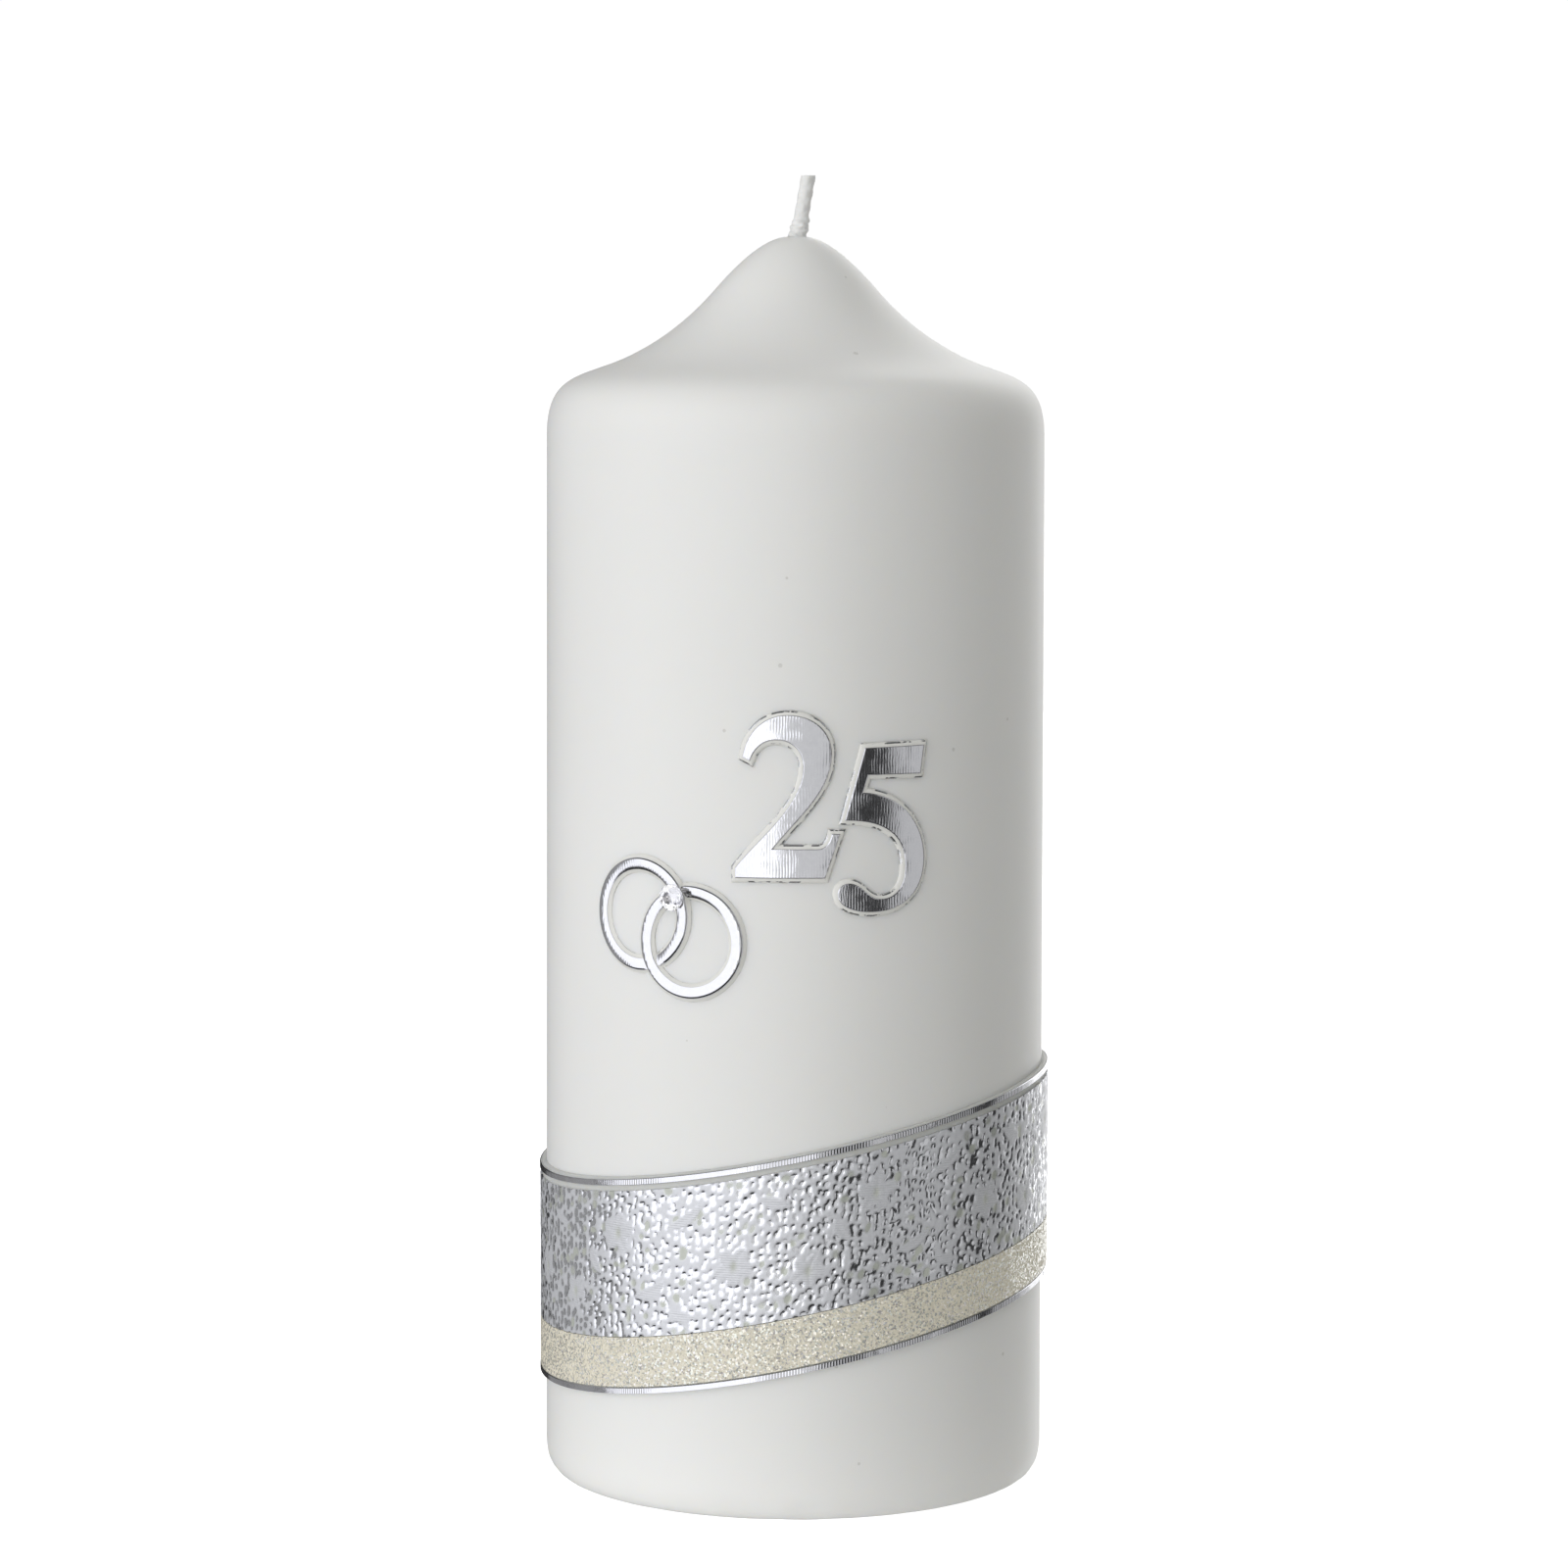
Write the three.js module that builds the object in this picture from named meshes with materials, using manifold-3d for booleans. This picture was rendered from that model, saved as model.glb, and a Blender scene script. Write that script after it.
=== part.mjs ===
// White anniversary pillar candle, 175 mm tall and 70 mm across.
//
// A pressed wax core on a cotton wick carries a dipped outer coat with a bell top. On the coat sit
// pressed wax ornaments with silver foil: the numerals 2 and 5, two interlinked rings with one
// stone, and a slanting band made of a silver relief strip, a glitter strip and two narrow trims.
//
// Millimetres, +Z up. The origin is the middle of the base, and the front faces -Y.
// An azimuth is counted from the front towards +X, and a radius from the candle's axis.

import * as THREE from 'three';
import { mergeVertices } from 'three/addons/utils/BufferGeometryUtils.js';
import Module from 'manifold-3d';

const wasm = await Module();
wasm.setup();

// Candle body
const WAX_HEIGHT = 175;
const SHOULDER_RADIUS = 35;
const FOOT_RADIUS = 35.35;
const COAT_THICKNESS = 3.2;
const GAP = 0.3;
const TURN_STEPS = 60;
const CURVE_STEPS = 4;

// Wick
const WICK_RADIUS = 1.05;
const WICK_TOP = 183.5;
const WICK_LEAN = THREE.MathUtils.degToRad(9.7);
const WICK_BEND_Z = 173.6;
const WICK_HOLE_RADIUS = WICK_RADIUS + GAP;

// Ornaments lie on the coat in thin layers: wax below and foil on top
const ORNAMENT_WAX = { inner: 35.4, outer: 35.95 };
const ORNAMENT_FOIL = { inner: 36.07, outer: 36.2 };
const NUMERAL_RIM = 0.6;
const CUTTER_START = 26;
const CUTTER_DEPTH = 14;

// Numerals, each placed by its azimuth and the height of its baseline
const NUMERAL_2 = { azimuth: -1.6, baseline: 88.7 };
const NUMERAL_5 = { azimuth: 19, baseline: 84 };

// Interlinked rings, about a shared middle
const RINGS_AZIMUTH = -30;
const RINGS_Z = 81.2;
const RING_OUTER_RADIUS = 7.6;
const RING_INNER_RADIUS = 6.3;
const RING_RIM = 0.6;
const LEFT_RING_CENTRE = new THREE.Vector2(-4.0, 1.7);
const RIGHT_RING_CENTRE = new THREE.Vector2(4.0, -1.7);

// Stone, set on the upper crossing of the rings
const STONE_CENTRE = new THREE.Vector2(1.85, 4.45);
const STONE_RADIUS = 1.8;
const STONE_TABLE_RADIUS = 1.0;
const STONE_GIRDLE_HEIGHT = 0.35;
const STONE_CROWN_HEIGHT = 0.95;
const STONE_FACETS = 8;
const STONE_FOIL = { inner: 36.3, outer: 36.4 };
const STONE_BASE = 36.5;

// Slanting band: heights are those at the candle's axis
const BAND_SLOPE = Math.tan(THREE.MathUtils.degToRad(11.75));
const BAND_HIGH_SIDE = THREE.MathUtils.degToRad(98);
const BAND_BOTTOM = 21.75;
const BAND_TOP = 51.9;
const TRIM_WIDTH = 0.9;
const GLITTER_HEIGHT = 6.9;
const RELIEF_MARGIN = 0.8;
const BAND_EDGE = 0.15;
const STRIP_GAP = 0.1;
const BAND_WAX = { inner: 35.55, outer: 35.85 };
const BAND_FACE = { inner: 35.97, outer: 36.15 };
const TRIM_WAX = { inner: 35.97, outer: 36.15 };
const TRIM_FOIL = { inner: 36.25, outer: 36.35 };
const SEAM_HALF_WIDTH = 0.15;

const candle = new THREE.Group();

const WHITE_WAX = { color: 0xe6e4dc, roughness: 0.42, metalness: 0 };
const ORNAMENT_WHITE = { color: 0xe9e6da, roughness: 0.5, metalness: 0 };
const SILVER_FOIL = { color: 0xd4d6da, roughness: 0.2, metalness: 1 };
const CREAM_GLITTER = { color: 0xd5ccb8, roughness: 0.45, metalness: 0.2 };
const CLEAR_STONE = { color: 0xf2f4f8, roughness: 0.04, metalness: 0 };
const WAXED_COTTON = { color: 0xd6d4c6, roughness: 0.8, metalness: 0 };

function addPiece(name, geometry, finish) {
  const mesh = new THREE.Mesh(geometry, new THREE.MeshStandardMaterial(finish));
  mesh.name = name;
  candle.add(mesh);
}

// Solids for cutting and joining

function toSolid(geometry) {
  const bare = geometry.clone();
  bare.deleteAttribute('normal');
  bare.deleteAttribute('uv');
  const merged = mergeVertices(bare, 1e-4);
  return new wasm.Manifold(new wasm.Mesh({
    numProp: 3,
    vertProperties: new Float32Array(merged.attributes.position.array),
    triVerts: new Uint32Array(merged.index.array),
  }));
}

function toGeometry(solid) {
  const mesh = solid.getMesh();
  const geometry = new THREE.BufferGeometry();
  geometry.setAttribute('position', new THREE.BufferAttribute(mesh.vertProperties, 3));
  geometry.setIndex(new THREE.BufferAttribute(mesh.triVerts, 1));
  return geometry;
}

// A profile of (radius, height) points turned about the candle's axis
function turned(profile) {
  const geometry = new THREE.LatheGeometry(profile, TURN_STEPS);
  geometry.rotateX(Math.PI / 2);
  return geometry;
}

// Bell-topped candle body

// Outline of the bell from the wick hole down to the straight side, scaled to a body radius
function bellOutline(bodyRadius, apexZ) {
  const k = bodyRadius / SHOULDER_RADIUS;
  const bell = new THREE.Path();
  bell.moveTo(WICK_HOLE_RADIUS, apexZ);
  bell.bezierCurveTo(4.2 * k, apexZ, 8.0 * k, apexZ - 3.5 * k, 11.3 * k, apexZ - 7.3 * k);
  bell.bezierCurveTo(
    15.2 * k, apexZ - 11.8 * k, 20.4 * k, apexZ - 16.0 * k, 27.2 * k, apexZ - 18.2 * k);
  bell.bezierCurveTo(
    31.8 * k, apexZ - 19.8 * k, 34.9 * k, apexZ - 20.7 * k, bodyRadius, apexZ - 27.5 * k);
  return bell;
}

function waxCore() {
  const radius = SHOULDER_RADIUS - COAT_THICKNESS - GAP;
  const apexZ = WAX_HEIGHT - COAT_THICKNESS - GAP;
  const outline = bellOutline(radius, apexZ);
  outline.lineTo(radius, 0);
  outline.lineTo(WICK_HOLE_RADIUS, 0);
  outline.lineTo(WICK_HOLE_RADIUS, apexZ);
  return turned(outline.getPoints(CURVE_STEPS).reverse());
}

function dippedCoat() {
  const innerRadius = SHOULDER_RADIUS - COAT_THICKNESS;
  const outline = bellOutline(SHOULDER_RADIUS, WAX_HEIGHT);
  outline.lineTo(FOOT_RADIUS, 4.5);
  outline.bezierCurveTo(FOOT_RADIUS, 2.0, 34.6, 0.35, 33.2, 0);
  outline.lineTo(innerRadius, 0);
  const lining = bellOutline(innerRadius, WAX_HEIGHT - COAT_THICKNESS).getPoints(CURVE_STEPS);
  const profile = outline.getPoints(CURVE_STEPS).concat(lining.reverse());
  profile.push(profile[0].clone());
  return turned(profile.reverse());
}

// The wick runs straight up the core and leans to the right where it leaves the wax
function wick() {
  const leanAt = (z) => Math.max(0, z - WICK_BEND_Z) * Math.tan(WICK_LEAN);
  const section = new THREE.Shape();
  section.absarc(0, 0, WICK_RADIUS, 0, 2 * Math.PI);
  const overrun = WICK_TOP + 2;
  const route = new THREE.CatmullRomCurve3([
    new THREE.Vector3(0, 0, 0),
    new THREE.Vector3(0, 0, 60),
    new THREE.Vector3(0, 0, 120),
    new THREE.Vector3(0, 0, WICK_BEND_Z - 2),
    new THREE.Vector3(0, 0, WICK_BEND_Z),
    new THREE.Vector3(leanAt(178), 0, 178),
    new THREE.Vector3(leanAt(overrun), 0, overrun),
  ], false, 'centripetal');
  const strand = new THREE.ExtrudeGeometry(section, {
    steps: 28, curveSegments: 5, extrudePath: route,
  });
  const aboveCut = new THREE.BoxGeometry(20, 20, 20);
  aboveCut.translate(0, 0, WICK_TOP + 10);
  return toGeometry(toSolid(strand).subtract(toSolid(aboveCut)));
}

// Ornaments pressed on the round side

// A tube about the candle's axis that bounds one layer
function layerTube({ inner, outer }, bottom, top) {
  return toSolid(turned([
    new THREE.Vector2(inner, bottom),
    new THREE.Vector2(outer, bottom),
    new THREE.Vector2(outer, top),
    new THREE.Vector2(inner, top),
    new THREE.Vector2(inner, bottom),
  ]));
}

// A flat shape, grown by a rim, pushed straight out through the side at an azimuth and a height
function pushedOut(shape, rim, azimuth, z) {
  const geometry = new THREE.ExtrudeGeometry(shape, {
    depth: CUTTER_DEPTH, curveSegments: 5,
    bevelEnabled: rim > 0, bevelSize: rim, bevelThickness: 0.2, bevelSegments: 1,
  });
  geometry.rotateX(Math.PI / 2);
  geometry.translate(0, -CUTTER_START, 0);
  geometry.rotateZ(THREE.MathUtils.degToRad(azimuth));
  geometry.translate(0, 0, z);
  return toSolid(geometry);
}

function numeral2Shape() {
  const shape = new THREE.Shape();
  shape.moveTo(-7.1, 0);
  shape.lineTo(5, 0);
  shape.lineTo(6.95, 5.75);
  shape.lineTo(6.1, 5.75);
  shape.bezierCurveTo(5.8, 4.5, 5.1, 3.7, 4.0, 3.7);
  shape.lineTo(-2.4, 3.7);
  shape.bezierCurveTo(1.2, 8.2, 5.8, 11.6, 5.8, 16.6);
  shape.bezierCurveTo(5.8, 19.8, 3.4, 21.8, 0, 21.8);
  shape.bezierCurveTo(-3.2, 21.8, -5.5, 19.7, -6.1, 16.3);
  shape.lineTo(-5.3, 15.9);
  shape.bezierCurveTo(-4.7, 17.6, -3.4, 18.7, -1.6, 18.7);
  shape.bezierCurveTo(0.6, 18.7, 2.2, 17.2, 2.2, 14.9);
  shape.bezierCurveTo(2.2, 9.6, -4.2, 5.0, -7.1, 1.2);
  return shape;
}

function numeral5Shape() {
  const shape = new THREE.Shape();
  shape.moveTo(-2.3, 22);
  shape.lineTo(-5, 12.5);
  shape.bezierCurveTo(0.6, 12.5, 3.7, 10.2, 3.7, 6);
  shape.bezierCurveTo(3.7, 3.3, 2.4, 1.5, 0, 1.5);
  shape.bezierCurveTo(-2, 1.5, -2.6, 3.5, -4.3, 3.7);
  shape.bezierCurveTo(-5.2, 3.8, -6, 3.3, -6, 2.4);
  shape.bezierCurveTo(-6, 0.9, -4, 0, -1.2, 0);
  shape.bezierCurveTo(3.4, 0, 6.3, 2.6, 6.3, 7);
  shape.bezierCurveTo(6.3, 12, 2.4, 15.8, -2.8, 16);
  shape.lineTo(-2, 18.6);
  shape.lineTo(5.7, 18.6);
  shape.lineTo(6.2, 22.2);
  return shape;
}

function addNumeral(name, shape, { azimuth, baseline }) {
  const span = [baseline - 3, baseline + 27];
  const wax = pushedOut(shape, NUMERAL_RIM, azimuth, baseline);
  const foil = pushedOut(shape, 0, azimuth, baseline);
  addPiece(`${name}_wax`, toGeometry(wax.intersect(layerTube(ORNAMENT_WAX, ...span))),
    ORNAMENT_WHITE);
  addPiece(`${name}_foil`, toGeometry(foil.intersect(layerTube(ORNAMENT_FOIL, ...span))),
    SILVER_FOIL);
}

function hoop(centre, rim) {
  const shape = new THREE.Shape();
  shape.absarc(centre.x, centre.y, RING_OUTER_RADIUS + rim, 0, 2 * Math.PI);
  const hole = new THREE.Path();
  hole.absarc(centre.x, centre.y, RING_INNER_RADIUS - rim, 0, 2 * Math.PI, true);
  shape.holes.push(hole);
  const geometry = new THREE.ExtrudeGeometry(shape, {
    depth: CUTTER_DEPTH, curveSegments: 14, bevelEnabled: false,
  });
  return outFromSide(geometry);
}

// Stands a flat extrusion up against the side of the candle, at the rings' place
function outFromSide(geometry, start = CUTTER_START) {
  geometry.rotateX(Math.PI / 2);
  geometry.translate(0, -start, 0);
  geometry.rotateZ(THREE.MathUtils.degToRad(RINGS_AZIMUTH));
  geometry.translate(0, 0, RINGS_Z);
  return toSolid(geometry);
}

// A round disc about the stone's middle, from one radius from the candle's axis to another
function stoneDisc(radius, inner, outer) {
  const shape = new THREE.Shape();
  shape.absarc(STONE_CENTRE.x, STONE_CENTRE.y, radius, 0, 2 * Math.PI);
  const geometry = new THREE.ExtrudeGeometry(shape, {
    depth: outer - inner, curveSegments: STONE_FACETS, bevelEnabled: false,
  });
  return outFromSide(geometry, inner);
}

function addRings() {
  const span = [RINGS_Z - 12, RINGS_Z + 12];
  const foilLayer = layerTube(ORNAMENT_FOIL, ...span);
  const wax = hoop(LEFT_RING_CENTRE, RING_RIM)
    .add(hoop(RIGHT_RING_CENTRE, RING_RIM))
    .intersect(layerTube(ORNAMENT_WAX, ...span));
  addPiece('rings_wax', toGeometry(wax), ORNAMENT_WHITE);

  // The right ring passes over the left one at the lower crossing, so the left foil stops there
  const lowerCrossing = new THREE.Shape();
  lowerCrossing.absarc(RIGHT_RING_CENTRE.x, RIGHT_RING_CENTRE.y,
    RING_OUTER_RADIUS + GAP, Math.PI, 1.5 * Math.PI);
  lowerCrossing.absarc(RIGHT_RING_CENTRE.x, RIGHT_RING_CENTRE.y,
    RING_INNER_RADIUS - GAP, 1.5 * Math.PI, Math.PI, true);
  const overpass = outFromSide(new THREE.ExtrudeGeometry(lowerCrossing, {
    depth: CUTTER_DEPTH, curveSegments: 14, bevelEnabled: false,
  }));
  const leftFoil = hoop(LEFT_RING_CENTRE, 0)
    .intersect(foilLayer)
    .subtract(overpass);

  // The left ring passes over the right one at the upper crossing, under the stone
  const rightFoil = hoop(RIGHT_RING_CENTRE, 0)
    .intersect(foilLayer)
    .subtract(hoop(LEFT_RING_CENTRE, GAP).subtract(outsideUpperCrossing()));
  addPiece('left_ring_foil', toGeometry(leftFoil), SILVER_FOIL);
  addPiece('right_ring_foil', toGeometry(rightFoil), SILVER_FOIL);
}

// Everything below the upper crossing of the rings
function outsideUpperCrossing() {
  const box = new THREE.BoxGeometry(40, 14, 20);
  box.translate(0, -33, -10);
  box.rotateZ(THREE.MathUtils.degToRad(RINGS_AZIMUTH));
  box.translate(0, 0, RINGS_Z);
  return toSolid(box);
}

function addStone() {
  addPiece('rhinestone_foil_back',
    toGeometry(stoneDisc(STONE_RADIUS - 0.05, STONE_FOIL.inner, STONE_FOIL.outer)),
    SILVER_FOIL);
  const sides = 2 * STONE_FACETS;
  const top = STONE_GIRDLE_HEIGHT + STONE_CROWN_HEIGHT;
  const stone = new THREE.LatheGeometry([
    new THREE.Vector2(0, 0),
    new THREE.Vector2(STONE_RADIUS, 0),
    new THREE.Vector2(STONE_RADIUS, STONE_GIRDLE_HEIGHT),
    new THREE.Vector2(STONE_TABLE_RADIUS, top),
    new THREE.Vector2(0, top),
  ], sides);
  stone.rotateX(Math.PI);
  stone.translate(STONE_CENTRE.x, -STONE_BASE, STONE_CENTRE.y);
  stone.rotateZ(THREE.MathUtils.degToRad(RINGS_AZIMUTH));
  stone.translate(0, 0, RINGS_Z);
  addPiece('rhinestone', toGeometry(toSolid(stone)), CLEAR_STONE);
}

// Slanting band

// A strip laid once round the candle, with its two ends nearly meeting at the back
function strip({ inner, outer }, bottom, top) {
  const seamAngle = (radius) => SEAM_HALF_WIDTH / radius;
  const back = Math.PI / 2;
  const section = new THREE.Shape();
  section.absarc(0, 0, outer, back + seamAngle(outer), back + 2 * Math.PI - seamAngle(outer));
  section.absarc(0, 0, inner, back + 2 * Math.PI - seamAngle(inner), back + seamAngle(inner), true);
  const geometry = new THREE.ExtrudeGeometry(section, {
    depth: top - bottom, curveSegments: TURN_STEPS / 2, bevelEnabled: false,
  });
  geometry.translate(0, 0, bottom);
  const slant = new THREE.Matrix4();
  slant.elements[2] = BAND_SLOPE * Math.sin(BAND_HIGH_SIDE);
  slant.elements[6] = -BAND_SLOPE * Math.cos(BAND_HIGH_SIDE);
  geometry.applyMatrix4(slant);
  return geometry;
}

function addBand() {
  const glitterBottom = BAND_BOTTOM + TRIM_WIDTH + BAND_EDGE;
  const glitterTop = glitterBottom + GLITTER_HEIGHT;
  const reliefBottom = glitterTop + STRIP_GAP;
  const upperTrimBottom = BAND_TOP - BAND_EDGE - TRIM_WIDTH;
  const reliefTop = upperTrimBottom - RELIEF_MARGIN;
  addPiece('band_wax', strip(BAND_WAX, BAND_BOTTOM, BAND_TOP), ORNAMENT_WHITE);
  addPiece('silver_relief_strip', strip(BAND_FACE, reliefBottom, reliefTop), SILVER_FOIL);
  addPiece('glitter_strip', strip(BAND_FACE, glitterBottom, glitterTop), CREAM_GLITTER);
  const trims = [['upper_trim', upperTrimBottom], ['lower_trim', BAND_BOTTOM]];
  for (const [name, bottom] of trims) {
    addPiece(`${name}_wax`, strip(TRIM_WAX, bottom, bottom + TRIM_WIDTH), ORNAMENT_WHITE);
    addPiece(`${name}_foil`, strip(TRIM_FOIL, bottom, bottom + TRIM_WIDTH), SILVER_FOIL);
  }
}

addPiece('wax_core', waxCore(), WHITE_WAX);
addPiece('dipped_wax_coat', dippedCoat(), WHITE_WAX);
addPiece('wick', wick(), WAXED_COTTON);
addNumeral('numeral_2', numeral2Shape(), NUMERAL_2);
addNumeral('numeral_5', numeral5Shape(), NUMERAL_5);
addRings();
addStone();
addBand();

export default candle;
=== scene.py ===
"""Looks of a white anniversary pillar candle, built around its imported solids.

Every piece stands where its solid stands. Lengths are in metres, and an azimuth is counted from the
front (-Y) towards +X, so a point on the side is given by its azimuth, height and radius.
"""
import math
import random

import bmesh
import bpy
from mathutils import Matrix, Vector, noise


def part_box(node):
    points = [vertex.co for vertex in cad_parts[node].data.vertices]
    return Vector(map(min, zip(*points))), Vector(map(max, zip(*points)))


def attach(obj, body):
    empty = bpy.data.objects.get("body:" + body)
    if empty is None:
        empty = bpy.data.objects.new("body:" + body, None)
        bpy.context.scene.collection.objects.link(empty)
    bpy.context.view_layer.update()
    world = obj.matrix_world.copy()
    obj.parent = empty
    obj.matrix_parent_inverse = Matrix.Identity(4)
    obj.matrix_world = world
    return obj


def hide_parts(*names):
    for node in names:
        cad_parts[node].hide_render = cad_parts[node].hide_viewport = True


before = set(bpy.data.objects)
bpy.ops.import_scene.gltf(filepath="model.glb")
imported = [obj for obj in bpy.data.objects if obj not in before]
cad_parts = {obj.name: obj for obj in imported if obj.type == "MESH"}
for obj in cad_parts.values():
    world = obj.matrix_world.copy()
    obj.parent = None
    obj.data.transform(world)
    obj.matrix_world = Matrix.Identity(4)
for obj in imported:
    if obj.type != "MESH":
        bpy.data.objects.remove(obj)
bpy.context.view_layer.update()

MM = 0.001

# Sizes taken from the frame
COAT_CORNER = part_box("dipped_wax_coat")[1]
FOOT_RADIUS = COAT_CORNER.x
WAX_HEIGHT = COAT_CORNER.z
CORE_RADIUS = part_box("wax_core")[1].x
WICK_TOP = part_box("wick")[1].z
BAND_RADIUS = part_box("band_wax")[1].x
FACE_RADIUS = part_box("silver_relief_strip")[1].x
TRIM_SINK = 0.16 * MM  # how far the trims' foil is pressed in below its solid
TRIM_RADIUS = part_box("upper_trim_foil")[1].x - TRIM_SINK

# Sizes that repeat the design of the solids
SHOULDER_RADIUS = 35 * MM
FOOT_INNER = 33 * MM
ORNAMENT_RADIUS = 36.0 * MM
WICK_RADIUS = 1.03 * MM
WICK_LEAN = math.radians(9.7)
BAND_SLOPE = math.tan(math.radians(11.75))
BAND_HIGH_SIDE = math.radians(98)
BAND_BOTTOM = 21.75 * MM
BAND_TOP = 51.9 * MM
TRIM_WIDTH = 0.9 * MM
UPPER_MARGIN = 0.15 * MM
UPPER_TRIM_BOTTOM = BAND_TOP - UPPER_MARGIN - TRIM_WIDTH
GLITTER_HEIGHT = 6.9 * MM
RELIEF_MARGIN = 0.8 * MM
STRIP_GAP = 0.12 * MM
NUMERAL_2 = (math.radians(-1.6), 88.7 * MM)
NUMERAL_5 = (math.radians(19), 84 * MM)
RINGS_AZIMUTH = math.radians(-30)
RINGS_Z = 81.2 * MM
RING_CENTRES = {"left": (-4.0 * MM, 1.7 * MM), "right": (4.0 * MM, -1.7 * MM)}
RING_OUTER = 7.75 * MM
RING_INNER = 6.08 * MM
UPPER_CROSSING = (1.85 * MM, 4.45 * MM)
LOWER_CROSSING = (-1.85 * MM, -4.45 * MM)
STONE_RADIUS = 1.8 * MM
STONE_LIFT = 1.62 * MM  # the girdle's height over the coat
NUMERAL_RISE = 0.46 * MM
SEAM_ANGLE = 0.0035  # between the ends of the backing and of the trims, in radians
SEAM_HALF_WIDTH = 0.15 * MM  # half the gap between the ends of the relief and glitter strips

# Cut lines on the numerals run a little past them
CUT_REACH = 9 * MM
CUT_HEIGHT = 23 * MM
CUT_PITCH = 0.9 * MM

# Surface detail
RIB_PITCH = 0.40 * MM
RIB_CREST = 0.35
TRIM_RIBS = 570
PIT_PITCH = (1.12 * MM, 1.16 * MM)

# The core fills the coat's hollow, so the looks only make its lowest part, with a bore above it
WICK_BORE = 0.9 * MM
HOLLOW_TOP = 20 * MM
CORE_TOP = 19.5 * MM

# Lights: the elevations between which every panel stands, in degrees, and how far away it is
PANEL_LOW, PANEL_HIGH = -30, 42
PANEL_DISTANCE = 1.1
WASH_DISTANCE = 1.12
WHITE = (1, 1, 1)


# Camera and light


def look():
    """The camera stands nearly as high as the wick and looks slightly down."""
    camera = bpy.data.objects.new("camera", bpy.data.cameras.new("camera"))
    bpy.context.scene.collection.objects.link(camera)
    camera.data.lens = 110.7
    camera.data.clip_start = 0.05
    camera.data.clip_end = 20
    stand, pitch, roll = (-1.53 * MM, -0.680, 0.1641), math.radians(5.56), math.radians(0.137)
    turn = Matrix.Rotation(math.pi / 2 - pitch, 4, "X") @ Matrix.Rotation(roll, 4, "Z")
    camera.matrix_world = Matrix.Translation(stand) @ turn
    bpy.context.scene.camera = camera


def softbox(name, azimuth, half_width, radiance, distance=PANEL_DISTANCE, tint=WHITE):
    """A flat lit panel centred on an azimuth. The azimuth and the half width are in degrees."""
    light = bpy.data.lights.new(name, "AREA")
    light.shape = "RECTANGLE"
    middle = math.radians((PANEL_LOW + PANEL_HIGH) / 2)
    light.size = 2 * distance * math.tan(math.radians(half_width))
    light.size_y = 2 * distance * math.tan(math.radians((PANEL_HIGH - PANEL_LOW) / 2))
    light.energy = radiance * math.pi * light.size * light.size_y
    light.color = tint
    around = math.radians(azimuth)
    away = Vector((
        math.sin(around) * math.cos(middle), -math.cos(around) * math.cos(middle), math.sin(middle)))
    return hang(light, Vector((0, 0, WAX_HEIGHT / 2)) + distance * away, away)


def hang(light, place, away):
    """Hangs a light at a place, facing against a direction."""
    panel = bpy.data.objects.new(light.name, light)
    panel.location = place
    panel.rotation_mode = "QUATERNION"
    panel.rotation_quaternion = away.to_track_quat("Z", "Y")
    panel.visible_camera = False
    bpy.context.scene.collection.objects.link(panel)
    return panel


def wash(name, radiance, size, z, away):
    """A round light on the candle's axis that fills its shadows and isn't seen in its foils."""
    light = bpy.data.lights.new(name, "AREA")
    light.shape = "DISK"
    light.size = size
    light.energy = radiance * math.pi * math.pi * (size / 2) ** 2
    hang(light, Vector((0, 0, z)), away).visible_glossy = False


def light_studio():
    """Soft panels all round, with dark gaps between them that the foils show as black.

    Panels that give no diffuse light show only as reflections, and the washes only light the wax.
    """
    cool, warm = (0.95, 0.955, 1.0), (1.0, 1.0, 0.965)
    up, down = Vector((0, 0, 1)), Vector((0, 0, -1))
    softbox("left_softbox", -46, 38, 1.40, tint=cool)
    softbox("front_fill", 3.75, 17.75, 0.68).visible_diffuse = False
    softbox("front_wash", 3.75, 17.75, 0.56, WASH_DISTANCE, warm).visible_glossy = False
    softbox("right_fill", 59, 16, 0.57).visible_diffuse = False
    softbox("right_wash", 59, 16, 0.08, WASH_DISTANCE, warm).visible_glossy = False
    softbox("right_rear_fill", 124, 15, 0.60).visible_diffuse = False
    softbox("rear_softbox", 160, 21, 1.90).visible_diffuse = False
    softbox("rear_wash", 145, 35, 0.90, WASH_DISTANCE).visible_glossy = False
    softbox("left_rear_fill", -112, 26, 0.30)
    wash("top_wash", radiance=0.72, size=2.4, z=1.1, away=up)
    wash("floor_wash", radiance=0.34, size=3.0, z=-0.5 * MM, away=down)
    wash("foot_wash", radiance=0.21, size=0.12, z=-0.3 * MM, away=down)


# Shader maths


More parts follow.
